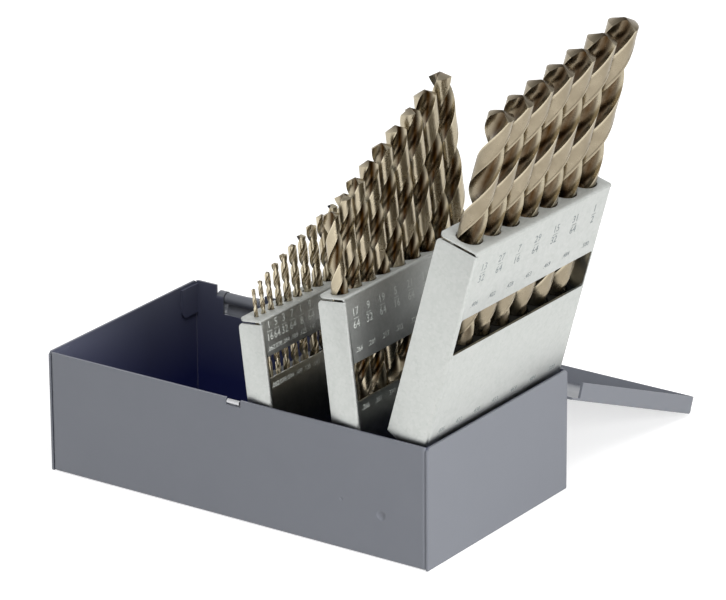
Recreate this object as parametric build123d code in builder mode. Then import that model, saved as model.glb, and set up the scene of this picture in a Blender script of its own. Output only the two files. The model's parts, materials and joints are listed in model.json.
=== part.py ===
from build123d import *
import math
import os

# Drill bit case: a sheet-steel box with a lid hinged on the back long wall, three trays that swing up
# from the box, and a set of 29 twist drills. Millimetres. The origin is the centre of the underside,
# +X runs along the length, +Y to the hinge side, +Z up. "From the end" means measured from the +X end.

os.makedirs("parts", exist_ok=True)

# ---------------------------------------------------------------- driving dimensions
case_length = 186.0
case_height = 52.0
drill_web = 1.7  # sheet left between the holes of the large tray; it sets the width of the case
sheet = 1.0
bend = 1.5  # outside radius of the folded corners
tab_width = 12.0  # short tabs of the long walls, folded in behind the end plates
tab_drop = 1.2  # top of the tabs below the rim, under the leaning face of the large tray
tab_height = 14.0  # bottom of the tabs below the rim
tab_corner = 3.0
corner_cut = 1.6  # cut-off top corners of the end plates

lid_gap = 0.5  # flange to wall, all round
lid_rise = 0.2  # lid plate above the rim when shut
lid_depth = 7.5  # flange height
lid_corner = 3.0
lid_back_gap = 0.3  # back edge of the lid plate inside the outer face of the back wall
lid_flange_end = 6.0  # end flanges stop short of the back edge
lid_open = 202.0  # degrees from shut

hinge_from_end = 24.0  # middle of each hinge
hinge_width = 25.0
hinge_knuckle = 17.0  # lid knuckle
hinge_side_gap = 0.5
hinge_drop = 6.0  # hinge line below the rim
hinge_slot = 6.5  # wall cut away below the hinge line
hinge_offset = 1.8  # hinge line behind the outer face of the back wall
case_knuckle_radius = 2.8
lid_knuckle_radius = 2.5
pin_radius = 1.2
pin_clearance = 0.05
pin_overhang = 0.3

bracket = 1.0  # thickness of the pivot brackets
bracket_land = 7.0  # bracket round the small and medium pivots
bracket_head = 3.2  # bracket above the large pivot
bracket_neck = 5.2  # bracket behind the large pivot
bracket_lift = 2.0  # bracket above the floor of the case
tray_gap = 0.4  # tray to bracket
tray_below_lid = 2.7  # folded large tray below the rim
stack_gap = 0.6  # between the folded trays
tray_sheet = 1.0
pivot_inset = 2.5  # pivot line inside the face of every tray
face_foot = 3.6  # bottom edge of the face above the pivot line; the ears run on below it
flange_corner = 3.0  # rounded back corners of the top flange
side_lip = 1.4  # strip of the face left at each end of the window
rivet_head = 2.4
rivet_head_depth = 1.2
rivet_end_gap = 0.3
hole_clearance = 0.3  # drill to hole, all round
guide_below_window = 3.0
seat_front_gap = 0.3

catch_width = 6.0
catch_thickness = 0.5
catch_length = 15.0
catch_radius = 0.9
catch_reach = 0.35  # how far the nose stands out of the front wall
catch_drop = 1.4
notch_width = 7.0
notch_depth = 3.0
rib_radius = 0.4
rib_drop = 3.0

# pressed marks of the long walls: from the end, below the medium pivot, ball radius, depth
dimples = ((22.0, 8.8, 4.3, 0.6), (41.0, 6.0, 1.2, 0.3))

point_angle = 135.0
shank_chamfer = 0.3
web_share = 0.2  # half web over drill radius
flute_share = 0.82  # flute radius over drill radius
lead_per_diameter = 2.6  # rise from one flute to the next over drill diameter

# name, thickness, lean to the +X end in degrees, middle plane at rim height (from the end; None: the
# face leans on the +X rim), face height above the rim, band above the window, window height, how far the
# first and last drill stand out, drill sizes in 64ths of an inch. From the lid down, as they lie folded.
TRAYS = [
    ("large", 18.7, 15.5, None, 84.0, 30.5, 16.0, 56.0, 73.0, range(26, 33)),
    ("medium", 12.9, -7.0, 40.5, 53.0, 27.5, 15.5, 33.0, 67.0, range(17, 26)),
    ("small", 11.3, -7.0, 82.0, 35.0, 15.5, 9.0, 11.5, 35.5, range(4, 17)),
]
inch = 25.4
face_at_rim = 1.8  # face of the leaning large tray inside the outer face of the +X end, at rim height

# jobber drills: 64ths of an inch -> overall length, flute length
JOBBER = {
    4: (47.6, 22.2), 5: (50.8, 25.4), 6: (57.15, 31.75), 7: (66.7, 38.1), 8: (69.85, 41.3),
    9: (73.0, 44.45), 10: (79.4, 50.8), 11: (82.55, 54.0), 12: (88.9, 58.7), 13: (92.1, 61.9),
    14: (95.25, 63.5), 15: (98.4, 66.7), 16: (101.6, 69.85), 17: (104.8, 73.0), 18: (107.95, 74.6),
    19: (111.1, 77.8), 20: (114.3, 81.0), 21: (117.5, 84.1), 22: (120.65, 87.3), 23: (123.8, 88.9),
    24: (127.0, 92.1), 25: (130.2, 95.25), 26: (133.35, 98.4), 27: (136.5, 100.0), 28: (139.7, 103.2),
    29: (142.9, 106.4), 30: (146.05, 109.5), 31: (149.2, 111.1), 32: (152.4, 114.3),
}

# ---------------------------------------------------------------- derived places
end_x = case_length / 2
largest = TRAYS[0][-1]
row_width = sum(largest) * inch / 64 + (len(largest) + 1) * drill_web
tray_y = row_width / 2 + tray_sheet  # outer face of the side flanges
inner_y = tray_y + tray_gap + bracket
wall_y = inner_y + sheet
case_width = 2 * wall_y
hinge_y = wall_y + hinge_offset
hinge_z = case_height - hinge_drop
hinge_xs = [hinge_from_end - end_x, end_x - hinge_from_end]
lid_place = Location((0, hinge_y, hinge_z)) * Location((0, 0, 0), (-lid_open, 0, 0))


def save(part, name):
    part.label = name
    export_step(part, "parts/" + name + ".step")


def tan(angle):
    return math.tan(math.radians(angle))


def cos(angle):
    return math.cos(math.radians(angle))


def sin(angle):
    return math.sin(math.radians(angle))


class Tray:
    """Places and heights of one tray. Local frame: origin on the pivot line, +X to the face, +Z up."""

    def __init__(self, row, folded):
        self.name, self.thick, self.lean, middle, rise, self.band, self.window = row[:7]
        self.first, self.last, self.sizes = row[7:]
        self.front = pivot_inset
        self.back = pivot_inset - self.thick
        self.axis = pivot_inset - self.thick / 2
        self.pivot_z = folded - pivot_inset
        below = case_height - self.pivot_z
        if middle is None:
            self.pivot_x = end_x - face_at_rim - self.front / cos(self.lean) - below * tan(self.lean)
        else:
            self.pivot_x = end_x - middle - self.axis / cos(self.lean) - below * tan(self.lean)
        self.top = (below + rise + self.front * sin(self.lean)) / cos(self.lean)
        self.inner_y = tray_y - tray_sheet
        self.guide = self.top - self.band - self.window - guide_below_window
        spare = 2 * self.inner_y - sum(self.sizes) * inch / 64
        gap = spare / (len(self.sizes) + 1)
        self.drills = []
        y = -self.inner_y
        for i, size in enumerate(self.sizes):
            radius = size * inch / 128
            y += gap + radius
            stand = self.first + (self.last - self.first) * i / (len(self.sizes) - 1)
            self.drills.append((size, radius, y, self.top + stand - JOBBER[size][0]))
            y += radius
        self.place = Location((self.pivot_x, 0, self.pivot_z)) * Location((0, 0, 0), (0, self.lean, 0))


trays = []
folded_face = case_height - tray_below_lid
for row in TRAYS:
    trays.append(Tray(row, folded_face))
    folded_face -= trays[-1].thick + stack_gap
large, medium, small = trays

# ---------------------------------------------------------------- case
# Bottom and long walls folded from one sheet, with tabs behind the end plates.
shell_x = end_x - sheet
with BuildPart() as case_shell:
    with Locations((0, 0, case_height / 2)):
        Box(2 * shell_x, case_width, case_height)
    fillet(case_shell.edges().filter_by(Axis.Z), bend)
    low_edges = case_shell.edges().filter_by(Axis.X).group_by(Axis.Z)[0]
    fillet(low_edges, bend)
    with Locations((0, 0, sheet + case_height / 2)):
        Box(2 * (shell_x - sheet), 2 * inner_y, case_height, mode=Mode.SUBTRACT)
    # the ends are open between the tabs
    with Locations((0, 0, sheet + case_height / 2)):
        Box(case_length, 2 * (wall_y - tab_width), case_height, mode=Mode.SUBTRACT)
    # the tabs are short, with a rounded lower corner
    tab_low = case_height - tab_height
    for side in (-1, 1):
        for end in (-1, 1):
            tab_x = end * (shell_x - sheet / 2)
            with Locations((tab_x, side * (inner_y - tab_width / 2), case_height)):
                Box(sheet, tab_width, 2 * tab_drop, mode=Mode.SUBTRACT)
            with Locations((tab_x, side * (inner_y - tab_width / 2), (sheet + tab_low) / 2)):
                Box(sheet, tab_width, tab_low - sheet, mode=Mode.SUBTRACT)
    tab_edge = wall_y - tab_width
    corners = []
    for edge in case_shell.edges().filter_by(Axis.X):
        place = edge.center()
        if abs(place.Z - tab_low) < 0.01 and abs(abs(place.Y) - tab_edge) < 0.01:
            corners.append(edge)
    fillet(corners, tab_corner)
    # hinge openings in the back wall and the knuckles curled from it
    for x in hinge_xs:
        with Locations((x, wall_y - sheet / 2, hinge_z + case_height / 2)):
            Box(hinge_width, sheet, case_height, mode=Mode.SUBTRACT)
        with Locations(Location((x, hinge_y, hinge_z), (0, 90, 0))):
            Cylinder(case_knuckle_radius, hinge_width)
        with Locations((x, wall_y, hinge_z - hinge_slot + case_height / 2)):
            Box(hinge_knuckle + 2 * hinge_side_gap, 4 * case_knuckle_radius, case_height, mode=Mode.SUBTRACT)
        with Locations(Location((x, hinge_y, hinge_z), (0, 90, 0))):
            Cylinder(pin_radius, hinge_width, mode=Mode.SUBTRACT)
    # notch for the catch, middle of the front wall
    with Locations((0, sheet / 2 - wall_y, case_height)):
        Box(notch_width, sheet, 2 * notch_depth, mode=Mode.SUBTRACT)
    # pressed marks where the pivot brackets are welded on
    for side in (-1, 1):
        for from_end, below, ball, deep in dimples:
            with Locations((end_x - from_end, side * (wall_y + ball - deep), medium.pivot_z - below)):
                Sphere(ball, mode=Mode.SUBTRACT)
save(case_shell.part, "case_shell")

for end, name in ((-1, "case_end_left"), (1, "case_end_right")):
    with BuildPart() as case_end:
        with BuildSketch(Plane.YZ.offset(end * end_x - (sheet if end > 0 else 0))):
            with BuildLine():
                Polyline(
                    (-wall_y, 0),
                    (wall_y, 0),
                    (wall_y, case_height - corner_cut),
                    (wall_y - corner_cut, case_height),
                    (corner_cut - wall_y, case_height),
                    (-wall_y, case_height - corner_cut),
                    close=True,
                )
            make_face()
        extrude(amount=sheet)
        outer = case_end.faces().sort_by(Axis.X)[-1 if end > 0 else 0]
        fillet(outer.edges().filter_by(Axis.Z), sheet / 2)
        fillet(case_end.faces().sort_by(Axis.X)[-1 if end > 0 else 0].edges().sort_by(Axis.Z)[0], sheet / 2)
    save(case_end.part, name)

# Pivot brackets: one plate inside each long wall, high only where the large tray hangs.
bracket_x = end_x - 2 * sheet - tray_gap
bracket_low = sheet + bracket_lift
outline = [(bracket_x, bracket_low), (small.pivot_x - bracket_land, bracket_low)]
for tray in (small, medium):
    for along in (-bracket_land, bracket_land):
        outline.append((tray.pivot_x + along, tray.pivot_z + bracket_land))
outline.append((large.pivot_x - bracket_neck, large.pivot_z - 2 * bracket_land))
outline.append((large.pivot_x - bracket_neck, large.pivot_z + bracket_head))
outline.append((bracket_x, large.pivot_z + bracket_head))
for side, name in ((-1, "pivot_bracket_front"), (1, "pivot_bracket_back")):
    with BuildPart() as pivot_bracket:
        with BuildSketch(Plane.XZ.offset(-side * inner_y if side > 0 else inner_y - bracket)) as plate:
            with BuildLine():
                Polyline(*outline, close=True)
            make_face()
            fillet(plate.vertices(), 1.0)
            for tray in trays:
                with Locations((tray.pivot_x, tray.pivot_z)):
                    Circle(pin_radius, mode=Mode.SUBTRACT)
        extrude(amount=bracket)
    save(pivot_bracket.part, name)

# Catch: a spring leaf inside the front wall, its rolled nose standing in the notch.
with BuildPart() as catch_spring:
    leaf_low = case_height - catch_drop - catch_length
    with Locations((0, catch_thickness / 2 - inner_y, leaf_low + catch_length / 2)):
        Box(catch_width, catch_thickness, catch_length)
    nose_y = catch_radius - catch_reach - wall_y
    with Locations(Location((0, nose_y, case_height - catch_drop), (0, 90, 0))):
        Cylinder(catch_radius, catch_width)
save(catch_spring.part, "catch_spring")

# ---------------------------------------------------------------- lid
lid_x = end_x + lid_gap + sheet
lid_front = wall_y + lid_gap + sheet
lid_back = wall_y - lid_back_gap
lid_top = case_height + lid_rise + sheet
with BuildPart() as lid_shut:
    with Locations((0, (lid_back - lid_front) / 2, lid_top - lid_depth / 2)):
        Box(2 * lid_x, lid_back + lid_front, lid_depth)
    front_corners = lid_shut.edges().filter_by(Axis.Z).group_by(Axis.Y)[0]
    fillet(front_corners, lid_corner)
    rim_edges = lid_shut.faces().sort_by(Axis.Z)[-1].edges().sort_by(Axis.Y)[:-1]
    fillet(rim_edges, sheet * 0.8)
    with BuildSketch(Plane.XY.offset(lid_top - lid_depth)) as hollow:
        with Locations((0, (lid_back - lid_front + sheet) / 2 + sheet)):
            Rectangle(2 * (lid_x - sheet), lid_back + lid_front + sheet)
        fillet(hollow.vertices().group_by(Axis.Y)[0], lid_corner - sheet)
    extrude(amount=lid_depth - sheet, mode=Mode.SUBTRACT)
    with Locations((0, lid_back, lid_top - sheet - lid_depth / 2)):
        Box(3 * lid_x, 2 * lid_flange_end, lid_depth, mode=Mode.SUBTRACT)
    # snap rib inside the front flange
    with Locations(Location((0, sheet - lid_front, case_height - rib_drop), (0, 90, 0))):
        Cylinder(rib_radius, catch_width)
    # hinge straps with their knuckles
    for x in hinge_xs:
        strap_high = lid_top - hinge_z
        with Locations((x, hinge_y - lid_knuckle_radius + sheet / 2, hinge_z + strap_high / 2)):
            Box(hinge_knuckle, sheet, strap_high)
        with Locations(Location((x, hinge_y, hinge_z), (0, 90, 0))):
            Cylinder(lid_knuckle_radius, hinge_knuckle)
            Cylinder(pin_radius + pin_clearance, hinge_knuckle, mode=Mode.SUBTRACT)
with BuildPart() as lid:
    add(lid_shut.part.moved(Location((0, -hinge_y, -hinge_z))).moved(lid_place))
save(lid.part, "lid")

for x, name in zip(hinge_xs, ("hinge_pin_left", "hinge_pin_right")):
    with BuildPart() as hinge_pin:
        with Locations(Location((x, hinge_y, hinge_z), (0, 90, 0))):
            Cylinder(pin_radius, hinge_width + 2 * pin_overhang)
    save(hinge_pin.part, name)

# ---------------------------------------------------------------- trays
for tray in trays:
    width = 2 * tray_y
    inner = 2 * tray.inner_y
    # face, side flanges and top flange folded from one sheet; open behind and below
    with BuildPart() as frame:
        middle = (tray.back + tray.front) / 2
        with Locations((middle, 0, (face_foot + tray.top) / 2)):
            Box(tray.thick, width, tray.top - face_foot)
        rim = frame.faces().sort_by(Axis.Z)[-1]
        fillet(rim.edges().sort_by(Axis.X)[0], flange_corner)
        fillet(frame.faces().sort_by(Axis.X)[-1].edges().sort_by(Axis.Z)[1:], tray_sheet * 0.9)
        # ears round the pivot line
        for side in (-1, 1):
            with BuildSketch(Plane.XZ.offset(-tray_y if side > 0 else tray.inner_y)):
                with BuildLine():
                    Polyline((0, -pivot_inset), (tray.back, face_foot), (tray.front, face_foot), (tray.front, 0))
                    RadiusArc((tray.front, 0), (0, -pivot_inset), pivot_inset)
                make_face()
            extrude(amount=tray_sheet)
        low = -2 * pivot_inset
        inner_top = tray.top - tray_sheet
        with Locations((middle - tray_sheet - 5, 0, (low + inner_top) / 2)):
            Box(tray.thick + 10, inner, inner_top - low, mode=Mode.SUBTRACT)
        with Locations((tray.front, 0, tray.top - tray.band - tray.window / 2)):
            Box(3 * tray_sheet, width - 2 * side_lip, tray.window, mode=Mode.SUBTRACT)
        for size, radius, y, seat in tray.drills:
            with Locations((tray.axis, y, tray.top)):
                Cylinder(radius + hole_clearance, 4 * tray_sheet, mode=Mode.SUBTRACT)
        with Locations(Location((0, 0, 0), (90, 0, 0))):
            Cylinder(pin_radius + pin_clearance, 2 * width, mode=Mode.SUBTRACT)
    save(frame.part.moved(tray.place), "tray_" + tray.name)

    # stepped seat for the shank ends, back plate and perforated guide
    seats = [seat for size, radius, y, seat in tray.drills]
    bounds = [-tray.inner_y]
    for one, two in zip(tray.drills, tray.drills[1:]):
        bounds.append((one[2] + one[1] + two[2] - two[1]) / 2)
    bounds.append(tray.inner_y)
    tread_back = tray.back
    tread_front = tray.front - tray_sheet - seat_front_gap
    middle = (tread_back + tread_front) / 2
    depth = tread_front - tread_back
    with BuildPart() as seat_part:
        for i, seat in enumerate(seats):
            y0, y1 = bounds[i], bounds[i + 1]
            with Locations((middle, (y0 + y1) / 2, seat - tray_sheet / 2)):
                Box(depth, y1 - y0, tray_sheet)
            if i and abs(seat - seats[i - 1]) > 0.01:
                high, low = max(seat, seats[i - 1]), min(seat, seats[i - 1])
                side = 0.5 if high == seat else -0.5
                with Locations((middle, y0 + side * tray_sheet, (high + low) / 2 - tray_sheet / 2)):
                    Box(depth, tray_sheet, high - low + tray_sheet)
        floor = min(seats) - tray_sheet
        with Locations((tread_back + tray_sheet / 2, 0, (floor + tray.guide) / 2)):
            Box(tray_sheet, inner, tray.guide - floor)
        with Locations((middle, 0, tray.guide - tray_sheet / 2)):
            Box(depth, inner, tray_sheet)
        for size, radius, y, seat in tray.drills:
            with Locations((tray.axis, y, tray.guide)):
                Cylinder(radius + hole_clearance, 3 * tray_sheet, mode=Mode.SUBTRACT)
    save(seat_part.part.moved(tray.place), "tray_" + tray.name + "_seat")

    # shouldered pivot rivets, fixed in the brackets
    for side, end_name in ((-1, "front"), (1, "back")):
        with BuildPart() as rivet:
            head_face = tray.inner_y - rivet_end_gap
            head = Location((tray.pivot_x, side * (head_face - rivet_head_depth / 2), tray.pivot_z), (90, 0, 0))
            with Locations(head):
                Cylinder(rivet_head, rivet_head_depth)
            shank = inner_y - head_face
            with Locations(Location((tray.pivot_x, side * (head_face + shank / 2), tray.pivot_z), (90, 0, 0))):
                Cylinder(pin_radius, shank)
        save(rivet.part, "pivot_rivet_" + tray.name + "_" + end_name)

# ---------------------------------------------------------------- drills
for tray in trays:
    for size, radius, y, seat in tray.drills:
        overall, flute = JOBBER[size]
        plain = overall - flute
        shoulder = overall - radius / tan(point_angle / 2)
        with BuildPart() as drill:
            with BuildSketch(Plane.XY.offset(plain)) as section:
                Circle(radius)
                with PolarLocations(radius * (web_share + flute_share), 2):
                    Circle(radius * flute_share, mode=Mode.SUBTRACT)
            with BuildLine() as path:
                Line((0, 0, plain), (0, 0, shoulder))
            lead = 2 * lead_per_diameter * 2 * radius
            twist = Helix(pitch=lead, height=shoulder - plain, radius=radius, center=(0, 0, plain))
            sweep(sections=section.sketch, path=path.line, binormal=twist)
            loft([drill.faces().sort_by(Axis.Z)[-1], Vertex(0, 0, overall)], ruled=True)
            with Locations((0, 0, plain / 2)):
                Cylinder(radius, plain)
            chamfer(drill.edges().sort_by(Axis.Z)[0], shank_chamfer)
        seated = Location((tray.axis, y, seat))
        save(drill.part.moved(seated).moved(tray.place), "drill_%02d_64" % size)
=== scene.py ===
"""Sheet-steel drill case with a hinged lid, three swing-up trays and 29 twist drills.

This gives the solids their finish and fine detail. Everything is in metres, in the frame of the
solids: origin under the middle of the case, +X along the length, +Y to the hinge side, +Z up.
"""
import json
import math

import bmesh
import bpy
from bpy.props import FloatProperty, FloatVectorProperty, PointerProperty
from mathutils import Matrix, Vector


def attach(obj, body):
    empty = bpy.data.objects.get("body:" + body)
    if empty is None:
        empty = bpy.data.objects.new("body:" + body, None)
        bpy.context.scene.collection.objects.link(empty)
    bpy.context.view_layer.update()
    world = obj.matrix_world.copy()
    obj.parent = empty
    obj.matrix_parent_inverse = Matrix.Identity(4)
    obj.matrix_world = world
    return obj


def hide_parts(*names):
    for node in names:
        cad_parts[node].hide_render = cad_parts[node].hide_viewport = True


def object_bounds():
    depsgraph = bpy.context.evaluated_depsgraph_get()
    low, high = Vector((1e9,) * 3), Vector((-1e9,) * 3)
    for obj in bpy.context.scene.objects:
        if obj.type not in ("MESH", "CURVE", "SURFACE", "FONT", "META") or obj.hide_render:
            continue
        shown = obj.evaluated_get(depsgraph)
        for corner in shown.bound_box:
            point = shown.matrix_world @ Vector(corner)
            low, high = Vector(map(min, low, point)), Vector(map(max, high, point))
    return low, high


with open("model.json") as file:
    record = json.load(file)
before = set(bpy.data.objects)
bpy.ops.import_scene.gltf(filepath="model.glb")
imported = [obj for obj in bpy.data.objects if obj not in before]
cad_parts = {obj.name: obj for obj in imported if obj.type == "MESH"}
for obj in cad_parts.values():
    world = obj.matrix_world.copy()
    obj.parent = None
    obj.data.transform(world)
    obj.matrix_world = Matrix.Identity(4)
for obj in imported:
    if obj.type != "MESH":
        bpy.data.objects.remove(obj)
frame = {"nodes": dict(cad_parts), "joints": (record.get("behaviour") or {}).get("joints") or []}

bl_info = {
    "name": "Drill case",
    "version": (1, 0, 0),
    "blender": (4, 5, 0),
    "location": "3D View > Sidebar > Drill case",
    "description": "Finishes the drill case: enamel, zinc trays, fluted drills, stage and camera",
    "category": "Object",
}

CAD_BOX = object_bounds()
MM = 0.001
INCH = 25.4  # millimetres

# each tray's drills, by size in 64ths of an inch
TRAYS = {"small": range(4, 17), "medium": range(17, 26), "large": range(26, 33)}
# millimetres: the band above a tray's window, and the window's height
WINDOW = {"small": (15.5, 9.0), "medium": (27.5, 15.5), "large": (30.5, 16.0)}
# how dulled the plate is on the stamped bands; on the top flanges it is 1
BLOOM = {"small": 0.28, "medium": 0.45, "large": 0.0}
FOLD_STEPS = 5  # rows of faces round a fold
DRILL_HOLE_SIDES, RIVET_HOLE_SIDES = 28, 16
RIVET_HOLE = 1.25 * MM  # its radius
TRAY_SHARP, DRILL_SHARP = math.radians(35), math.radians(32)  # sharper edges aren't smoothed
SAME_PLACE = 1e-7  # metres

# stamped figures: places from the top of the band, over its height, and sizes over the mark height
FRACTION_AT, DECIMAL_AT = 0.36, 0.82
FRACTION_SIZE, DECIMAL_SIZE = 1.35, 0.85
FULL_BAND = 16 * MM  # figures on a band that is lower than this are smaller
LOWER_ROW_LARGE = 7 * MM  # above the foot of the large tray's face
LOWER_ROW = 3.2 * MM  # below the window of the others
UPRIGHT = Matrix(((0, 0, 1), (1, 0, 0), (0, 1, 0))).to_4x4()  # stands a flat drawing up, facing +X

# degrees: where the flutes of a tray's drills face, and by how much they differ
TURNED = {"small": (-55, 70), "medium": (-55, 45), "large": (-55, 9)}
SCATTER = 2.3  # radians of a sine wave from one size to the next, so that neighbours differ
# thickness of the oxide, which in the flutes also paints shade: on the lands, in the flutes
OXIDE_AND_PAINTED_LIGHT = {"small": (0.15, 0.7), "medium": (0.36, 1), "large": (0.585, 0.945)}
FLUTE_LENGTH = {  # millimetres, by drill size in 64ths of an inch
    4: 22.2, 5: 25.4, 6: 31.75, 7: 38.1, 8: 41.3, 9: 44.45, 10: 50.8, 11: 54.0, 12: 58.7, 13: 61.9,
    14: 63.5, 15: 66.7, 16: 69.85, 17: 73.0, 18: 74.6, 19: 77.8, 20: 81.0, 21: 84.1, 22: 87.3,
    23: 88.9, 24: 92.1, 25: 95.25, 26: 98.4, 27: 100.0, 28: 103.2, 29: 106.4, 30: 109.5, 31: 111.1,
    32: 114.3,
}
FLUTE_ROWS = 10  # rows of faces across a flute
LAND_ROWS = 6  # and across the ground-down part of a land
RINGS_PER_TURN = 26
FEWEST_RINGS = 12

LAMPS = (  # name, place in metres, power in watts
    ("right", (1.38, -0.5, 0.52), 20.5),
    ("front", (-0.4, -1.6, 0.4), 0.6),
    ("top", (0.5, -0.7, 1.5), 15),
    ("rear", (-1.0, 1.3, 0.7), 9),
)
LAMP_SIZE = 0.8
LAMPS_AIM = Vector((0, 0, 0.06))
AMBIENT = 0.29  # strength of the world as a light
# the darker part of the surroundings: the way away from it, its strength, and the ends of its rim
OVERHEAD = (-0.35, -0.2, -0.9)
OVERHEAD_LEVEL = 0.42
OVERHEAD_RIM = (-0.8, -0.35)
FLOOR_REACH = 12  # half the side of the floor
FLOOR_GAP = 0.2 * MM  # from the floor to the feet
FLOOR_LIFT = 0.65  # what the floor gains where it is seen, so that it reads as white

AZIMUTH, ELEVATION, ROLL = 34.8, 20.8, -0.4  # degrees
DISTANCE = 2.0
TARGET = Vector((0.028, 0, 0.084))
FOCAL, IMAGE_WIDTH = 5013, 726  # pixels
SENSOR_WIDTH = 36  # millimetres


def linear(code):
    """An sRGB hex colour as linear red, green, blue."""
    parts = [int(code[i:i + 2], 16) / 255 for i in (1, 3, 5)]
    return tuple(c / 12.92 if c <= 0.04045 else ((c + 0.055) / 1.055) ** 2.4 for c in parts)


def colour_prop(name, code, description):
    return FloatVectorProperty(
        name=name, description=description, default=linear(code), size=3, min=0, max=1,
        subtype="COLOR")


def length_prop(name, length, description, least=0):
    return FloatProperty(
        name=name, description=description, default=length, min=least, unit="LENGTH")


def number_prop(name, number, least, most, description):
    return FloatProperty(name=name, description=description, default=number, min=least, max=most)


class DrillCaseColours(bpy.types.PropertyGroup):
    """Colours of the finishes."""
    enamel: colour_prop(
        "Enamel", "#6A6D75", "Blue-grey stove enamel of the box and lid")
    enamel_thin: colour_prop(
        "Thin enamel", "#71747B", "The enamel where the coat is thinner, in soft clouds")
    # painted shade: the dark colour that the enamel deep inside the box darkens to
    inside: colour_prop(
        "Inside enamel", "#1F2450", "The enamel deep inside the box, a thin coat over primer")
    bracket: colour_prop(
        "Bracket enamel", "#2A2E48", "Darker enamel of the pivot brackets inside the box")
    zinc: colour_prop(
        "Zinc", "#C1C3C0", "Bright zinc plate of the trays")
    zinc_dull: colour_prop(
        "Dull zinc", "#AEB3AE", "The zinc's duller crystals")
    steel: colour_prop(
        "Steel", "#C9CACC", "Rivets, hinge pins and the catch")
    bronze: colour_prop(
        "Bronze oxide", "#D7CCB2", "Straw-bronze oxide on the drills where it is thinnest")
    # partly the oxide and partly painted shade, reached deep in the flutes
    bronze_dark: colour_prop(
        "Dark bronze oxide", "#3A2408", "The oxide where it is thickest, in the flutes")
    # painted shade: dark grey standing in for the shade on the seats inside the trays
    seat: colour_prop(
        "Seat", "#4B4E50", "Phosphated strips that the shanks stand on")
    mark: colour_prop(
        # painted shade of the stamped relief on the large tray; below it, a painted highlight on
        # the relief's edges for the other trays
        "Size marks", "#888F90", "Stamped figures of the large tray")
    mark_pale: colour_prop(
        "Pale size marks", "#D3D7D2",
        "Stamped figures of the other trays, whose rough edges catch light")
    floor: colour_prop(
        "Floor", "#CFCFCF", "Pale floor")


class DrillCaseSizes(bpy.types.PropertyGroup):
    """Sizes of the fine detail."""
    run_out: number_prop(
        "Flute run-out", 0.9, 0.1, 2,
        "Length over which a flute rises to the shank, over the diameter")
    lower_start: length_prop(
        "Lower start", 9 * MM, "How far below the standard flute length the flutes begin")
    lead: number_prop(
        "Lead", 5.2, 2, 10, "Rise of one full turn of a flute, over the diameter")
    web: number_prop(
        "Web", 0.2, 0.1, 0.5, "Half thickness of the web, over the radius")
    flute: number_prop(
        "Flute", 0.82, 0.5, 1, "Radius of the flute, over the drill's radius")
    margin: number_prop(
        "Margin", 10, 2, 30, "Width of the raised margin beside each flute, in degrees")
    clearance: number_prop(
        "Body clearance", 0.022, 0, 0.1,
        "How far the land behind the margin is ground down, over the radius")
    point_angle: number_prop(
        "Point angle", 135, 90, 150, "Full angle of the drill point, in degrees")
    relief: number_prop(
        "Lip relief", 0.12, 0, 0.3, "Drop of the heel behind the cutting lip, over the radius")
    tray_sheet: length_prop(
        "Tray sheet", 1 * MM, "Thickness of the trays' sheet", least=0.1 * MM)
    tray_bend: length_prop(
        "Tray bend", 1.1 * MM, "Outside radius of the trays' folds", least=0.1 * MM)
    tray_slit: length_prop(
        "Corner slit", 0.8 * MM, "Gap between the top flange and the side flanges of a tray")
    foot: length_prop(
        "Face foot", 3.6 * MM, "Bottom edge of a tray's face above its pivot line")
    side_lip: length_prop(
        "Side lip", 1.5 * MM, "Strip of the face left beside the window")
    hole_clearance: length_prop(
        "Hole clearance", 0.25 * MM, "Gap between a drill and its hole")
    mark_height: length_prop(
        "Mark height", 3.4 * MM, "Height of the stamped figures")
    chamfer: length_prop(
        "Shank chamfer", 0.3 * MM, "Chamfer at the end of the shank")


def feed(tree, node, inputs):
    """Gives inputs of a node, by name or number, a value or a link from an output socket."""
    for key, value in inputs.items():
        if isinstance(value, bpy.types.NodeSocket):
            tree.links.new(value, node.inputs[key])
        else:
            node.inputs[key].default_value = value


def add(tree, kind, inputs=None, **settings):
    """Adds a node with its settings and its inputs."""
    node = tree.nodes.new(kind)
    for key, value in settings.items():
        setattr(node, key, value)
    feed(tree, node, inputs or {})
    return node


def material(name):
    """A new node material: its tree and its Principled BSDF."""
    made = bpy.data.materials.new(name)
    made.use_nodes = True
    return made, made.node_tree, made.node_tree.nodes["Principled BSDF"]


def rgba(colour):
    return (*colour, 1)


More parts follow.
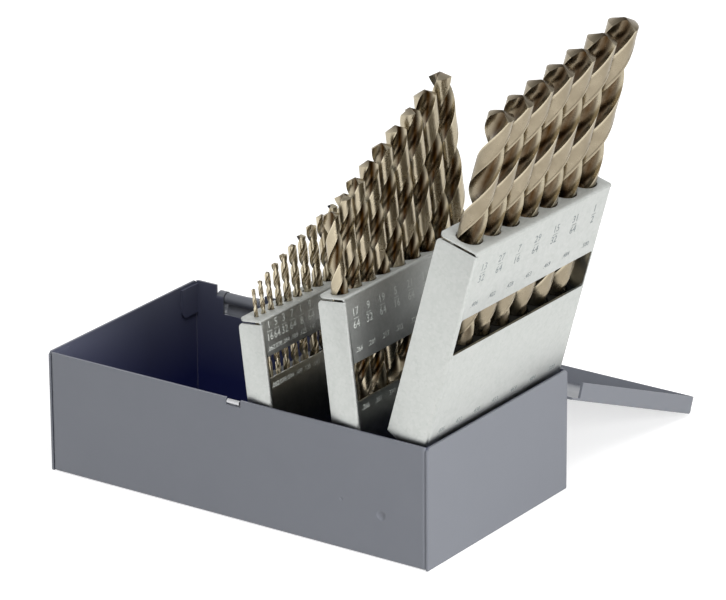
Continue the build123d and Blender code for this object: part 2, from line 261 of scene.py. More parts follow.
def stove_enamel(name, colour, thin, inside=None, box=None):
    """Stove-baked enamel on sheet steel: satin, with the faint orange peel of a sprayed coat.

    Inside the box, given as half its length, half its width and its height, painted shade darkens
    the coat with depth, towards the inside colour.
    """
    made, tree, shader = material(name)
    place = add(tree, "ShaderNodeTexCoord").outputs["Object"]
    cloud = add(tree, "ShaderNodeTexNoise", {
        "Vector": place, "Scale": 1 / (22 * MM), "Detail": 4.0, "Roughness": 0.6}).outputs["Fac"]
    tone = add(tree, "ShaderNodeMix", {
        "Factor": cloud, "A": rgba(colour), "B": rgba(thin)}, data_type="RGBA")
    if box:
        skin = 0.7 * MM  # within the thickness of the sheet
        across = add(tree, "ShaderNodeVectorMath", {0: place}, operation="ABSOLUTE")
        where = add(tree, "ShaderNodeSeparateXYZ", {"Vector": across.outputs["Vector"]}).outputs
        # painted shade, from the rim down to a fifth of the height
        deep = add(tree, "ShaderNodeMapRange", {
            "Value": where["Z"], "From Min": box[2], "From Max": 0.2 * box[2],
            "To Min": 0.45, "To Max": 1.0}).outputs["Result"]
        for axis, half in zip("XY", box):
            within = add(tree, "ShaderNodeMath", {
                0: where[axis], 1: half - skin}, operation="LESS_THAN")
            deep = add(tree, "ShaderNodeMath", {
                0: deep, 1: within.outputs["Value"]}, operation="MULTIPLY").outputs["Value"]
        tone = add(tree, "ShaderNodeMix", {
            "Factor": deep, "A": tone.outputs["Result"], "B": rgba(inside)}, data_type="RGBA")
    # orange peel is about 0.8 mm across; drawn at 1.1 mm so that it shows
    peel = add(tree, "ShaderNodeTexNoise", {
        "Vector": place, "Scale": 1 / (1.1 * MM), "Detail": 2.0, "Roughness": 0.5})
    bump = add(tree, "ShaderNodeBump", {
        "Height": peel.outputs["Fac"], "Strength": 0.12, "Distance": 0.05 * MM})
    sheen = add(tree, "ShaderNodeMapRange", {"Value": cloud, "To Min": 0.36, "To Max": 0.48})
    feed(tree, shader, {
        "Base Color": tone.outputs["Result"], "Roughness": sheen.outputs["Result"],
        "Normal": bump.outputs["Normal"], "IOR": 1.5})
    return made


def zinc_plate(name, colour, dull, low=0.24, metal=1.0):
    """Zinc plate on cold-rolled sheet: pale, half-matt metal with fine crystals and cloudy wear.

    low is its least roughness, and metal is below 1 where dirt and oxide cover the plate.
    """
    made, tree, shader = material(name)
    place = add(tree, "ShaderNodeTexCoord").outputs["Object"]
    # zinc crystals of about 1 mm
    crystal = add(tree, "ShaderNodeTexVoronoi", {
        "Vector": place, "Scale": 1 / (1.1 * MM), "Randomness": 1.0})
    cloud = add(tree, "ShaderNodeTexNoise", {
        "Vector": place, "Scale": 1 / (4 * MM), "Detail": 6.0, "Roughness": 0.7}).outputs["Fac"]
    shade = add(tree, "ShaderNodeMath", {
        0: crystal.outputs["Color"], 1: cloud}, operation="MULTIPLY")
    tone = add(tree, "ShaderNodeMix", {
        "Factor": shade.outputs["Value"], "A": rgba(colour), "B": rgba(dull)}, data_type="RGBA")
    # the top flange, handled most, and the stamped bands are duller: matt, with a whitish bloom
    bloom = add(tree, "ShaderNodeAttribute", attribute_name="bloom").outputs["Fac"]
    high = add(tree, "ShaderNodeMapRange", {"Value": bloom, "To Min": low + 0.2, "To Max": 0.95})
    rough = add(tree, "ShaderNodeMapRange", {
        "Value": cloud, "To Min": low, "To Max": high.outputs["Result"]})
    bare = add(tree, "ShaderNodeMapRange", {"Value": bloom, "To Min": metal, "To Max": 0.4})
    bump = add(tree, "ShaderNodeBump", {
        "Height": cloud, "Strength": 0.12, "Distance": 0.1 * MM})
    feed(tree, shader, {
        "Base Color": tone.outputs["Result"], "Roughness": rough.outputs["Result"],
        "Metallic": bare.outputs["Result"], "Normal": bump.outputs["Normal"]})
    return made


def bright_steel(name, colour):
    """Turned or rolled bright steel: smooth, with short rub marks."""
    made, tree, shader = material(name)
    place = add(tree, "ShaderNodeTexCoord").outputs["Object"]
    rub = add(tree, "ShaderNodeTexNoise", {
        "Vector": place, "Scale": 1 / (1.5 * MM), "Detail": 3.0})
    rough = add(tree, "ShaderNodeMapRange", {
        "Value": rub.outputs["Fac"], "To Min": 0.2, "To Max": 0.38})
    feed(tree, shader, {
        "Base Color": rgba(colour), "Roughness": rough.outputs["Result"], "Metallic": 1})
    return made


def drill_oxide(name, land, flute):
    """Straw-bronze oxide on ground high-speed steel: glossy lands with fine rings, flutes darkened
    by oxide and by painted shade.
    """
    made, tree, shader = material(name)
    place = add(tree, "ShaderNodeTexCoord").outputs["Object"]
    oxide_and_painted_light = add(tree, "ShaderNodeAttribute", attribute_name="oxide_and_painted_light").outputs["Fac"]
    along = add(tree, "ShaderNodeAttribute", attribute_name="along").outputs["Fac"]
    cloud = add(tree, "ShaderNodeTexNoise", {
        "Vector": place, "Scale": 1 / (7 * MM), "Detail": 4.0, "Roughness": 0.6}).outputs["Fac"]
    uneven = add(tree, "ShaderNodeMapRange", {"Value": cloud, "To Min": -0.12, "To Max": 0.14})
    thick = add(tree, "ShaderNodeMath", {
        0: oxide_and_painted_light, 1: uneven.outputs["Result"]}, operation="ADD", use_clamp=True)
    tone = add(tree, "ShaderNodeMix", {
        "Factor": thick.outputs["Value"], "A": rgba(land), "B": rgba(flute)}, data_type="RGBA")
    # grinding rings: 60 grit leaves about 0.25 mm
    rings = add(tree, "ShaderNodeTexNoise", {
        "W": along, "Scale": 1 / (0.25 * MM), "Detail": 2.0}, noise_dimensions="1D")
    bump = add(tree, "ShaderNodeBump", {
        "Height": rings.outputs["Fac"], "Strength": 0.15, "Distance": 0.03 * MM})
    rough = add(tree, "ShaderNodeMapRange", {"Value": cloud, "To Min": 0.2, "To Max": 0.36})
    feed(tree, shader, {
        "Base Color": tone.outputs["Result"], "Roughness": rough.outputs["Result"],
        "Normal": bump.outputs["Normal"], "Metallic": 1})
    return made


def finish(node, made):
    """Gives every slot of a CAD node this material."""
    mesh = frame["nodes"][node].data
    mesh.materials.clear()
    mesh.materials.append(made)


def mesh_object(name, bm, made):
    """A finished bmesh as an object of one material in the scene."""
    mesh = bpy.data.meshes.new(name)
    bm.to_mesh(mesh)
    bm.free()
    mesh.materials.append(made)
    obj = bpy.data.objects.new(name, mesh)
    bpy.context.scene.collection.objects.link(obj)
    return obj


def piece(name, bm, made, body):
    """A finished bmesh as an object that rides on a body."""
    obj = mesh_object(name, bm, made)
    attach(obj, body)
    return obj


def drill_node(number):
    """Name of a drill's node and body, by its size in 64ths of an inch."""
    return "drill_%02d_64" % number


def drill_radius(number):
    return number * INCH / 128 * MM


def joint_of(body):
    """The joint that carries a body."""
    return next(joint for joint in frame["joints"] if joint["child"] == body)


def drill_axis(number):
    """The way in which a drill is drawn out, up to its tip."""
    return Vector(joint_of(drill_node(number))["axis"]).normalized()


def tray_place(name):
    """A tray's own frame as a matrix: origin on its pivot line, +X out of the face, +Z up it."""
    up = drill_axis(TRAYS[name][0])
    out = Vector((0, 1, 0)).cross(up)
    origin = Vector(joint_of("tray_" + name)["pos_m"])
    return Matrix.Translation(origin) @ Matrix((out, (0, 1, 0), up)).transposed().to_4x4()


def loop(bm, points):
    """A closed loop of edges through the points."""
    verts = [bm.verts.new(point) for point in points]
    return [bm.edges.new((a, b)) for a, b in zip(verts, verts[1:] + verts[:1])]


def arc(centre, radius, start, end, steps, flat):
    """Points of an arc in a plane; flat turns its two numbers into a point."""
    points = []
    for i in range(steps + 1):
        angle = math.radians(start + (end - start) * i / steps)
        across, along = radius * math.cos(angle), radius * math.sin(angle)
        points.append(flat(centre[0] + across, centre[1] + along))
    return points


def hole(bm, segments, radius, matrix):
    """The edges of a round hole, for an outline to be filled."""
    verts = bmesh.ops.create_circle(bm, segments=segments, radius=radius, matrix=matrix)["verts"]
    return list(dict.fromkeys(e for v in verts for e in v.link_edges))


def spin(bm, edges, **turn):
    """Sweeps edges round an axis, and gives the edges that the last step made."""
    verts = list(dict.fromkeys(v for e in edges for v in e.verts))
    made = bmesh.ops.spin(
        bm, geom=edges + verts, use_merge=False, use_normal_flip=False, use_duplicate=False,
        **turn)
    return [g for g in made["geom_last"] if isinstance(g, bmesh.types.BMEdge)]


def flange_outline(bm, last, axis, rim):
    """Outline of a flange: the last edges of its fold, closed through the points of its rim."""
    ends = sorted(set(v for e in last for v in e.verts), key=lambda v: v.co[axis])
    verts = [ends[-1]] + [bm.verts.new(point) for point in rim] + [ends[0]]
    return last + [bm.edges.new(pair) for pair in zip(verts, verts[1:])]


class DRILLCASE_OT_case(bpy.types.Operator):
    """Finish the box, lid, brackets, catch, hinge pins and rivets"""
    bl_idname = "drillcase.case"
    bl_label = "Finish the case"

    def execute(self, context):
        colours = context.scene.drill_case_colours
        rim = frame["nodes"]["case_end_right"].data.vertices
        box = [max(v.co[axis] for v in rim) for axis in range(3)]
        # the box's enamel carries painted shade inside it, darker with depth
        enamel = stove_enamel(
            "stove_enamel", colours.enamel, colours.enamel_thin, colours.inside, box)
        # the same enamel in one dark tone
        dark = stove_enamel("bracket_enamel", colours.bracket, colours.bracket)
        steel = bright_steel("bright_steel", colours.steel)
        for node in ("case_shell", "case_end_left", "case_end_right", "lid"):
            finish(node, enamel)
        for node in ("pivot_bracket_front", "pivot_bracket_back"):
            finish(node, dark)
        for node in frame["nodes"]:
            if node.startswith(("catch_spring", "hinge_pin", "pivot_rivet")):
                finish(node, steel)
        return {"FINISHED"}


class TrayLines:
    """Lines of a folded tray in its own frame, from the lowest and highest corner of its solid."""

    def __init__(self, name, low, high, sizes):
        band, window = (v * MM for v in WINDOW[name])
        self.band = band
        self.front, self.half, self.top = high
        self.rear = low.x
        self.ear = -low.z  # radius of the ears, round the pivot line
        # where the side folds and the top fold begin
        self.flat_y = self.half - sizes.tray_bend
        self.bend_z = self.top - sizes.tray_bend
        # the side flanges end at side_top, and above wing the face is as wide as the top flange
        self.side_top = self.top - sizes.tray_sheet - sizes.tray_slit
        self.wing = self.side_top + 0.3 * MM
        self.wide = self.half - 0.15 * MM
        self.window_top = self.top - band
        self.window_foot = self.window_top - window


class DRILLCASE_OT_trays(bpy.types.Operator):
    """Trays folded from zinc-plated sheet, with windows, drill holes and stamped size marks"""
    bl_idname = "drillcase.trays"
    bl_label = "Make the trays"

    def execute(self, context):
        colours = context.scene.drill_case_colours
        sizes = context.scene.drill_case_sizes
        zinc = zinc_plate("zinc_plate", colours.zinc, colours.zinc_dull)
        # struck figures are matt, so they are hardly metallic; their colours are painted light:
        # painted shade of the relief on the large tray, a painted highlight on its edges on the
        # others
        stamp_painted_light = zinc_plate("stamped_zinc_painted_light", colours.mark, colours.mark, 0.7, 0.35)
        pale = zinc_plate(
            "stamped_zinc_pale", colours.mark_pale, colours.mark_pale, 0.7, 0.2)
        # painted shade: the seat strips are dark grey and matt, standing in for the shade inside
        # the tray
        seat_painted_shade = zinc_plate("seat_painted_shade_zinc", colours.seat, colours.seat, 0.5)
        for name in TRAYS:
            finish("tray_" + name + "_seat", seat_painted_shade)
            place = tray_place(name)
            back = place.inverted()
            points = [back @ v.co for v in frame["nodes"]["tray_" + name].data.vertices]
            low = Vector([min(p[i] for p in points) for i in range(3)])
            high = Vector([max(p[i] for p in points) for i in range(3)])
            lines = TrayLines(name, low, high, sizes)
            holes = []
            for number in TRAYS[name]:
                verts = frame["nodes"][drill_node(number)].data.vertices
                tip = back @ max((v.co for v in verts), key=lambda co: co.dot(place.col[2].to_3d()))
                holes.append((tip.x, tip.y, drill_radius(number)))
            bm = bmesh.new()
            self.face(bm, lines, sizes)
            self.top_flange(bm, lines, holes, sizes)
            for side in (-1, 1):
                self.side_flange(bm, lines, side, sizes)
            self.thicken(bm, sizes)
            self.bloom(bm, lines, BLOOM[name], sizes)
            bm.transform(place)
            tray = piece("tray_" + name + "_folded", bm, zinc, "tray_" + name)
            tray.data.set_sharp_from_angle(angle=TRAY_SHARP)
            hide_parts("tray_" + name)
            self.marks(name, lines, holes, sizes, place, stamp_painted_light if name == "large" else pale)
        return {"FINISHED"}

    def face(self, bm, lines, sizes):
        """The face with its window, wider above the slits."""
        edges = loop(bm, [(lines.front, y, z) for y, z in (
            (-lines.flat_y, sizes.foot), (lines.flat_y, sizes.foot),
            (lines.flat_y, lines.side_top), (lines.flat_y, lines.wing),
            (lines.wide, lines.wing), (lines.wide, lines.bend_z),
            (-lines.wide, lines.bend_z), (-lines.wide, lines.wing),
            (-lines.flat_y, lines.wing), (-lines.flat_y, lines.side_top))])
        corner = 1.0 * MM  # radius of the window's corners
        side = lines.half - sizes.side_lip - corner
        high, low = lines.window_top - corner, lines.window_foot + corner
        window = []
        for y, z, start in (
                (side, high, 0), (-side, high, 90), (-side, low, 180), (side, low, 270)):
            window += arc((y, z), corner, start, start + 90, 4, lambda y, z: (lines.front, y, z))
        edges += loop(bm, window)
        bmesh.ops.triangle_fill(bm, edges=edges, use_beauty=True)

    def top_flange(self, bm, lines, holes, sizes):
        """The top fold, and the flange behind it with a hole for each drill."""
        def flat(x, y):
            return x, y, lines.top

        edge = [e for e in bm.edges
                if all(abs(v.co.z - lines.bend_z) < SAME_PLACE for v in e.verts)]
        last = spin(bm, edge, cent=(lines.front - sizes.tray_bend, 0, lines.bend_z),
                    axis=(0, -1, 0), angle=math.pi / 2, steps=FOLD_STEPS)
        corner = 3 * MM
        rim = arc((lines.rear + corner, lines.wide - corner), corner, 90, 180, 5, flat)
        rim += arc((lines.rear + corner, corner - lines.wide), corner, 180, 270, 5, flat)
        outline = flange_outline(bm, last, 1, rim)
        for x, y, radius in holes:
            outline += hole(
                bm, DRILL_HOLE_SIDES, radius + sizes.hole_clearance,
                Matrix.Translation(flat(x, y)))
        bmesh.ops.triangle_fill(bm, edges=outline, use_beauty=True)

    def side_flange(self, bm, lines, side, sizes):
        """The fold on one side, and the flange behind it with its ear and rivet hole."""
        def flat(x, z):
            return x, side * lines.half, z

        edge = [e for e in bm.edges
                if all(abs(v.co.y - side * lines.flat_y) < SAME_PLACE
                       and abs(v.co.x - lines.front) < SAME_PLACE
                       and v.co.z < lines.wing - SAME_PLACE for v in e.verts)]
        last = spin(bm, edge, cent=(lines.front - sizes.tray_bend, side * lines.flat_y, 0),
                    axis=(0, 0, side), angle=math.pi / 2, steps=FOLD_STEPS)
        corner = 2 * MM
        rim = arc((lines.rear + corner, lines.side_top - corner), corner, 90, 180, 4, flat)
        rim += [flat(lines.rear, sizes.foot)] + arc((0, 0), lines.ear, 270, 352, 8, flat)
        outline = flange_outline(bm, last, 2, rim)
        outline += hole(
            bm, RIVET_HOLE_SIDES, RIVET_HOLE,
            Matrix.Translation(flat(0, 0)) @ Matrix.Rotation(math.pi / 2, 4, "X"))
        bmesh.ops.triangle_fill(bm, edges=outline, use_beauty=True)

    def thicken(self, bm, sizes):
        """Gives the folded sheet its thickness, and softens its cut edges."""
        bmesh.ops.remove_doubles(bm, verts=bm.verts[:], dist=1e-6)
        bmesh.ops.dissolve_degenerate(bm, dist=1e-6, edges=bm.edges[:])
        bmesh.ops.recalc_face_normals(bm, faces=bm.faces[:])
        front = max(bm.faces, key=lambda f: f.calc_area() * abs(f.normal.x))
        if front.normal.x < 0:
            bmesh.ops.reverse_faces(bm, faces=bm.faces[:])
        bmesh.ops.solidify(bm, geom=bm.faces[:], thickness=sizes.tray_sheet)
        cut = [e for e in bm.edges
               if len(e.link_faces) == 2 and e.calc_face_angle(0) > math.radians(50)]
        bmesh.ops.bevel(
            bm, geom=cut, offset=0.15 * MM, offset_type="OFFSET", segments=2, profile=0.5,
            affect="EDGES", material=-1, clamp_overlap=True)
        for face in bm.faces:
            face.smooth = True

    def bloom(self, bm, lines, dulled, sizes):
        """Says where the plate is dull: wholly on the top flange, partly on the stamped band."""
        bloom = bm.verts.layers.float.new("bloom")
        for vert in bm.verts:
            on_top = vert.co.z > lines.top - 0.5 * sizes.tray_sheet
            on_band = (vert.co.z > lines.window_top - 0.05 * MM
                       and vert.co.x > lines.front - sizes.tray_bend)
            vert[bloom] = max(on_top, dulled * on_band)

    def marks(self, name, lines, holes, sizes, place, stamp_painted_light):
        """Each drill's size, as a fraction and a decimal on the band and a decimal below it."""
        height = sizes.mark_height * min(1, lines.band / FULL_BAND)
        apart = height * 0.75  # from the bar of a fraction to the figures above and below it
        fraction_z = lines.top - lines.band * FRACTION_AT
        decimal_z = lines.top - lines.band * DECIMAL_AT
        if name == "large":
            lower_z = sizes.foot + LOWER_ROW_LARGE
        else:
            lower_z = lines.window_foot - LOWER_ROW
        bm = bmesh.new()
        for number, (_, y, _) in zip(TRAYS[name], holes):
            over, under = number, 64
            while over % 2 == 0:
                over, under = over // 2, under // 2
            decimal = ("%.3f" % (number / 64)).lstrip("0")
            for text, size, z in (
                    (str(over), FRACTION_SIZE, fraction_z + apart),
                    (str(under), FRACTION_SIZE, fraction_z - apart),
                    (decimal, DECIMAL_SIZE, decimal_z), (decimal, DECIMAL_SIZE, lower_z)):
                curve = bpy.data.curves.new("figure", "FONT")
                curve.body, curve.size, curve.extrude = text, height * size, 0.01 * MM
                curve.align_x, curve.align_y, curve.resolution_u = "CENTER", "CENTER", 2
                figure = bpy.data.objects.new("figure", curve)
                mesh = bpy.data.meshes.new_from_object(figure)
                mesh.transform(Matrix.Translation((lines.front + 0.015 * MM, y, z)) @ UPRIGHT)
                bm.from_mesh(mesh)
                bpy.data.objects.remove(figure)
                bpy.data.curves.remove(curve)
                bpy.data.meshes.remove(mesh)
            bar = bmesh.ops.create_grid(
                bm, x_segments=1, y_segments=1, size=height * 0.5)["verts"]
            bmesh.ops.scale(bm, verts=bar, vec=(1, 0.07, 1))
            bmesh.ops.transform(
                bm, verts=bar,
                matrix=Matrix.Translation((lines.front + 0.02 * MM, y, fraction_z)) @ UPRIGHT)
        bm.transform(place)
        piece("tray_" + name + "_marks", bm, stamp_painted_light, "tray_" + name)


def section(sizes):
    """Rows of half a drill's section: angle in degrees, share of the radius, and behind.

    behind is how far back a row lies from a cutting lip: 0 at the lip, 1 at the heel.
    """
    centre = sizes.web + sizes.flute
    half = math.acos((1 + centre ** 2 - sizes.flute ** 2) / (2 * centre))
    edge = math.degrees(half)
    # the flute is a round hollow, a little wider inside than its mouth
    swing = math.asin(math.sin(half) / sizes.flute)
    rows = [(-edge, 1.0, 0.0)]
    for i in range(1, FLUTE_ROWS):
        inside = swing * (2 * i / FLUTE_ROWS - 1)
        point = Vector((centre - sizes.flute * math.cos(inside), sizes.flute * math.sin(inside)))
        rows.append((math.degrees(math.atan2(point.y, point.x)), point.length, i / FLUTE_ROWS))
    # the land is ground down from the heel to one degree short of the margin, which stands on its
    # leading side
    low = 1 - sizes.clearance
    rest = 180 - 2 * edge
    for i in range(LAND_ROWS + 1):
        angle = edge + (rest - sizes.margin - 1) * i / LAND_ROWS
        rows.append((angle, low, 1 - (angle - edge) / rest))
    rows.append((180 - edge - sizes.margin, 1.0, sizes.margin / rest))
    rows.append((180 - edge - sizes.margin / 2, 1.0, sizes.margin / rest / 2))
    return rows


def oxide_rows(coat, count):
    """Thickness of the oxide on each row of half a section.

    It gets thicker across the flute, partly as oxide and partly as painted shade; it was rubbed off
    at the margin, and it is thin along the heel as a painted highlight.
    """
    land, flute = coat
    rows = [land + (flute - land) * math.sin(math.pi * (i / FLUTE_ROWS) ** 1.4) ** 2.2
            for i in range(FLUTE_ROWS)]
    rows += [land] * (count - FLUTE_ROWS)
    for i, left in ((0, 0.6), (FLUTE_ROWS - 1, 0.35), (FLUTE_ROWS, 0.2)):
        rows[i] = left * land
    return rows


class DrillLines:
    """Heights of a drill above the end of its shank, and the twist of its flutes."""

    def __init__(self, number, overall, sizes):
        shank = overall - FLUTE_LENGTH[number] * MM
        self.radius = drill_radius(number)
        self.overall = overall
        self.slope = math.tan(math.radians(sizes.point_angle / 2))
        # the flutes keep to the upper three fifths of the standard shank
        self.start = shank - min(sizes.lower_start, 0.6 * shank)
        self.shoulder = overall - self.radius / self.slope
        self.turn = 2 * math.pi / (sizes.lead * 2 * self.radius)  # radians for each metre
        turns = (self.shoulder - self.start) * self.turn / (2 * math.pi)
        self.rings = max(FEWEST_RINGS, round(turns * RINGS_PER_TURN))
        self.rise = (self.shoulder - self.start) / self.rings


class DRILLCASE_OT_drills(bpy.types.Operator):
    """Twist drills with ground margins, flute run-outs and relieved points"""
    bl_idname = "drillcase.drills"
    bl_label = "Make the drills"

    def execute(self, context):
        colours = context.scene.drill_case_colours
        sizes = context.scene.drill_case_sizes
        oxide = drill_oxide("drill_oxide", colours.bronze, colours.bronze_dark)
        half = section(sizes)
        outline = half + [(angle + 180, share, behind) for angle, share, behind in half]
        for tray, numbers in TRAYS.items():
            up = drill_axis(numbers[0])
            tray_top = max(v.co.dot(up) for v in frame["nodes"]["tray_" + tray].data.vertices)
            for number in numbers:
                node = drill_node(number)
                up = drill_axis(number)
                heights = [(v.co.dot(up), v.co.copy()) for v in frame["nodes"][node].data.vertices]
                top, tip = max(heights, key=lambda h: h[0])
                lines = DrillLines(number, top - min(h[0] for h in heights), sizes)
                base = tip - up * lines.overall
                bm = bmesh.new()
                self.twist(bm, lines, outline, OXIDE_AND_PAINTED_LIGHT[tray], sizes)
                self.close_ends(bm, lines, sizes)
                # each drill stands turned differently; a flute faces the front just above the tray
                toward, spread = TURNED[tray]
                seen = tray_top - base.dot(up) + 2 * MM
                angle = math.radians(toward + spread * math.sin(number * SCATTER))
                angle -= lines.turn * (seen - lines.start)
                bmesh.ops.rotate(
                    bm, verts=bm.verts[:], cent=(0, 0, 0), matrix=Matrix.Rotation(angle, 3, "Z"))
                place = tray_place(tray)
                place.translation = base
                bm.transform(place)
                made = piece(node + "_ground", bm, oxide, node)
                made.data.set_sharp_from_angle(angle=DRILL_SHARP)
                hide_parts(node)
        return {"FINISHED"}

    def twist(self, bm, lines, outline, coat, sizes):
        """The fluted length: a circle swept up a screw, then each vertex set on the section."""
        radius, start, turn = lines.radius, lines.start, lines.turn
        first, apart = math.radians(outline[0][0]), 2 * math.pi / len(outline)
        ring = bmesh.ops.create_circle(bm, segments=len(outline), radius=radius)["verts"]
        for i, vert in enumerate(ring):
            vert.co = Matrix.Rotation(first + i * apart, 3, "Z") @ Vector((radius, 0, 0))
            vert.co.z = start
        spin(bm, bm.edges[:], cent=(0, 0, 0), axis=(0, 0, 1), dvec=(0, 0, lines.rise),
             angle=turn * (lines.shoulder - start), steps=lines.rings)
        oxide_and_painted_light = bm.verts.layers.float.new("oxide_and_painted_light")
        thickness = oxide_rows(coat, len(outline) // 2)
        for vert in bm.verts:
            here = math.atan2(vert.co.y, vert.co.x) - turn * (vert.co.z - start)
            row = round((here - first) / apart) % len(outline)
            side, half_row = divmod(row, len(outline) // 2)
            angle, share, behind = outline[row]
            # the flute comes up to the shank over its run-out
            deep = math.sin(
                min(1, (vert.co.z - start) / (sizes.run_out * 2 * radius)) * math.pi / 2)
            share = 1 - (1 - share) * deep
            # this oxide thickness paints shade in the flutes and a highlight along the heel,
            # besides the oxide itself
            vert[oxide_and_painted_light] = thickness[half_row] * deep + coat[0] * (1 - deep)
            angle = (1 - deep) * (first + row * apart) + deep * math.radians(angle)
            if vert.co.z > lines.shoulder - lines.rise / 2:
                # the last ring lies on the cone of the point, lower behind each lip
                vert.co.z = (lines.overall - share * radius / lines.slope
                             - sizes.relief * radius * share * behind)
                # the flute is cut off at the width of its mouth, which makes the lips straight
                if half_row < FLUTE_ROWS:
                    angle = side * math.pi + max(first, min(-first, angle - side * math.pi))
            angle += turn * (vert.co.z - start)
            vert.co.x = math.cos(angle) * share * radius
            vert.co.y = math.sin(angle) * share * radius

    def close_ends(self, bm, lines, sizes):
        """The point, and the plain shank down to its chamfered end."""
        bounds = [e for e in bm.edges if e.is_boundary]
        lower = [e for e in bounds if all(v.co.z < lines.start + lines.rise / 2 for v in e.verts)]
        upper = [e for e in bounds if e not in set(lower)]
        tip = bmesh.ops.edgeloop_fill(bm, edges=upper)["faces"]
        bmesh.ops.poke(bm, faces=tip)["verts"][0].co = Vector((0, 0, lines.overall))
        for height, width in ((sizes.chamfer, lines.radius), (0, lines.radius - sizes.chamfer)):
            made = bmesh.ops.extrude_edge_only(bm, edges=lower)["geom"]
            for vert in (g for g in made if isinstance(g, bmesh.types.BMVert)):
                flat = Vector((vert.co.x, vert.co.y, 0)).normalized() * width
                vert.co = Vector((flat.x, flat.y, height))
            lower = [g for g in made if isinstance(g, bmesh.types.BMEdge) and g.is_boundary]
        bmesh.ops.edgeloop_fill(bm, edges=lower)
        along = bm.verts.layers.float.new("along")
        for vert in bm.verts:
            vert[along] = vert.co.z
        bmesh.ops.recalc_face_normals(bm, faces=bm.faces[:])
        for face in bm.faces:
            face.smooth = True


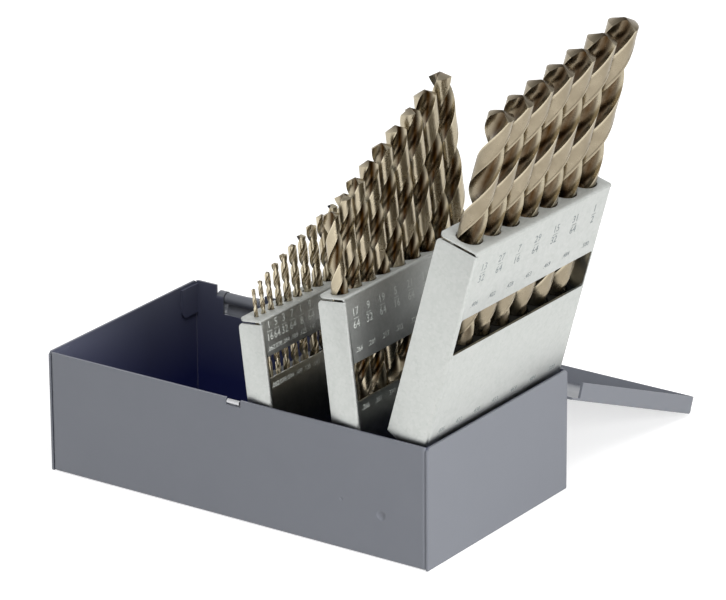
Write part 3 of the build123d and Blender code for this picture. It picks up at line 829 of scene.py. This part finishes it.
class DRILLCASE_OT_stage(bpy.types.Operator):
    """Pale floor, soft lamps, white surroundings and the camera"""
    bl_idname = "drillcase.stage"
    bl_label = "Set the stage"

    def execute(self, context):
        scene = context.scene
        scene.view_settings.view_transform = "Standard"
        self.lay_floor(scene.drill_case_colours.floor)
        self.surround(scene)
        for name, place, power in LAMPS:
            lamp = bpy.data.lights.new(name, "AREA")
            lamp.shape, lamp.size, lamp.energy = "SQUARE", LAMP_SIZE, power
            obj = bpy.data.objects.new(name, lamp)
            obj.location = place
            obj.rotation_euler = (LAMPS_AIM - Vector(place)).to_track_quat("-Z", "Y").to_euler()
            # metal mirrors the surroundings, not the lamps
            obj.visible_glossy = False
            scene.collection.objects.link(obj)
        self.set_camera(scene)
        return {"FINISHED"}

    def sight(self, tree):
        """Whether the camera sees a surface, and whether the camera or a reflection does."""
        path = add(tree, "ShaderNodeLightPath").outputs
        seen = add(tree, "ShaderNodeMath", {
            0: path["Is Camera Ray"], 1: path["Is Glossy Ray"]}, operation="MAXIMUM")
        return path["Is Camera Ray"], seen.outputs["Value"]

    def lay_floor(self, colour):
        """Matt white card under the feet; it is lifted to white for the camera and reflections."""
        bm = bmesh.new()
        bmesh.ops.create_grid(bm, x_segments=1, y_segments=1, size=FLOOR_REACH)
        bmesh.ops.translate(bm, verts=bm.verts[:], vec=(0, 0, CAD_BOX[0][2] - FLOOR_GAP))
        card, tree, shader = material("matt_card")
        seen = self.sight(tree)[1]
        lift = add(tree, "ShaderNodeMath", {0: seen, 1: FLOOR_LIFT}, operation="MULTIPLY")
        feed(tree, shader, {
            "Base Color": rgba(colour), "Roughness": 0.9, "Specular IOR Level": 0.2,
            "Emission Color": (1, 1, 1, 1), "Emission Strength": lift.outputs["Value"]})
        floor = mesh_object("floor", bm, card)

    def surround(self, scene):
        """World: white to the camera, weaker as a light, and in reflections darker overhead."""
        world = bpy.data.worlds.new("surroundings")
        world.use_nodes = True
        scene.world = world
        tree = world.node_tree
        camera, seen = self.sight(tree)
        # overhead it is dark, as over a lit table, and that shades what metal mirrors
        way = add(tree, "ShaderNodeTexCoord").outputs["Generated"]
        across = add(tree, "ShaderNodeVectorMath", {0: way, 1: OVERHEAD}, operation="DOT_PRODUCT")
        flag = add(tree, "ShaderNodeMapRange", {
            "Value": across.outputs["Value"],
            "From Min": OVERHEAD_RIM[0], "From Max": OVERHEAD_RIM[1],
            "To Min": OVERHEAD_LEVEL, "To Max": 1.0}, interpolation_type="SMOOTHSTEP")
        shown = add(tree, "ShaderNodeMath", {
            0: flag.outputs["Result"], 1: camera}, operation="MAXIMUM")
        level = add(tree, "ShaderNodeMapRange", {
            "Value": seen, "To Min": AMBIENT, "To Max": shown.outputs["Value"]})
        feed(tree, tree.nodes["Background"], {
            "Color": (1, 1, 1, 1), "Strength": level.outputs["Result"]})

    def set_camera(self, scene):
        azimuth, elevation, roll = (math.radians(v) for v in (AZIMUTH, ELEVATION, ROLL))
        back = Vector((
            math.sin(azimuth) * math.cos(elevation), -math.cos(azimuth) * math.cos(elevation),
            math.sin(elevation)))
        right = Vector((0, 0, 1)).cross(back).normalized()
        up = back.cross(right)
        side = math.cos(roll) * right + math.sin(roll) * up
        top = -math.sin(roll) * right + math.cos(roll) * up
        lens = bpy.data.cameras.new("camera")
        lens.sensor_width = SENSOR_WIDTH
        lens.lens = FOCAL / IMAGE_WIDTH * SENSOR_WIDTH
        lens.clip_end = 50
        obj = bpy.data.objects.new("camera", lens)
        turn = Matrix((side, top, back)).transposed().to_4x4()
        obj.matrix_world = Matrix.Translation(TARGET + back * DISTANCE) @ turn
        scene.collection.objects.link(obj)
        scene.camera = obj


class DRILLCASE_PT_panel(bpy.types.Panel):
    """Lists the pieces and their sizes and colours"""
    bl_idname = "DRILLCASE_PT_panel"
    bl_label = "Drill case"
    bl_space_type = "VIEW_3D"
    bl_region_type = "UI"
    bl_category = "Drill case"

    def draw(self, context):
        column = self.layout.column()
        for operator in OPERATORS:
            column.operator(operator.bl_idname)
        for group in (context.scene.drill_case_colours, context.scene.drill_case_sizes):
            box = self.layout.box()
            for name in group.__annotations__:
                box.prop(group, name)


OPERATORS = (DRILLCASE_OT_case, DRILLCASE_OT_trays, DRILLCASE_OT_drills, DRILLCASE_OT_stage)
CLASSES = (DrillCaseColours, DrillCaseSizes, *OPERATORS, DRILLCASE_PT_panel)


def register():
    for cls in CLASSES:
        bpy.utils.register_class(cls)
    bpy.types.Scene.drill_case_colours = PointerProperty(type=DrillCaseColours)
    bpy.types.Scene.drill_case_sizes = PointerProperty(type=DrillCaseSizes)


def unregister():
    del bpy.types.Scene.drill_case_colours
    del bpy.types.Scene.drill_case_sizes
    for cls in reversed(CLASSES):
        bpy.utils.unregister_class(cls)


def main():
    register()
    bpy.ops.drillcase.case()
    bpy.ops.drillcase.trays()
    bpy.ops.drillcase.drills()
    bpy.ops.drillcase.stage()


if __name__ == "__main__":
    main()
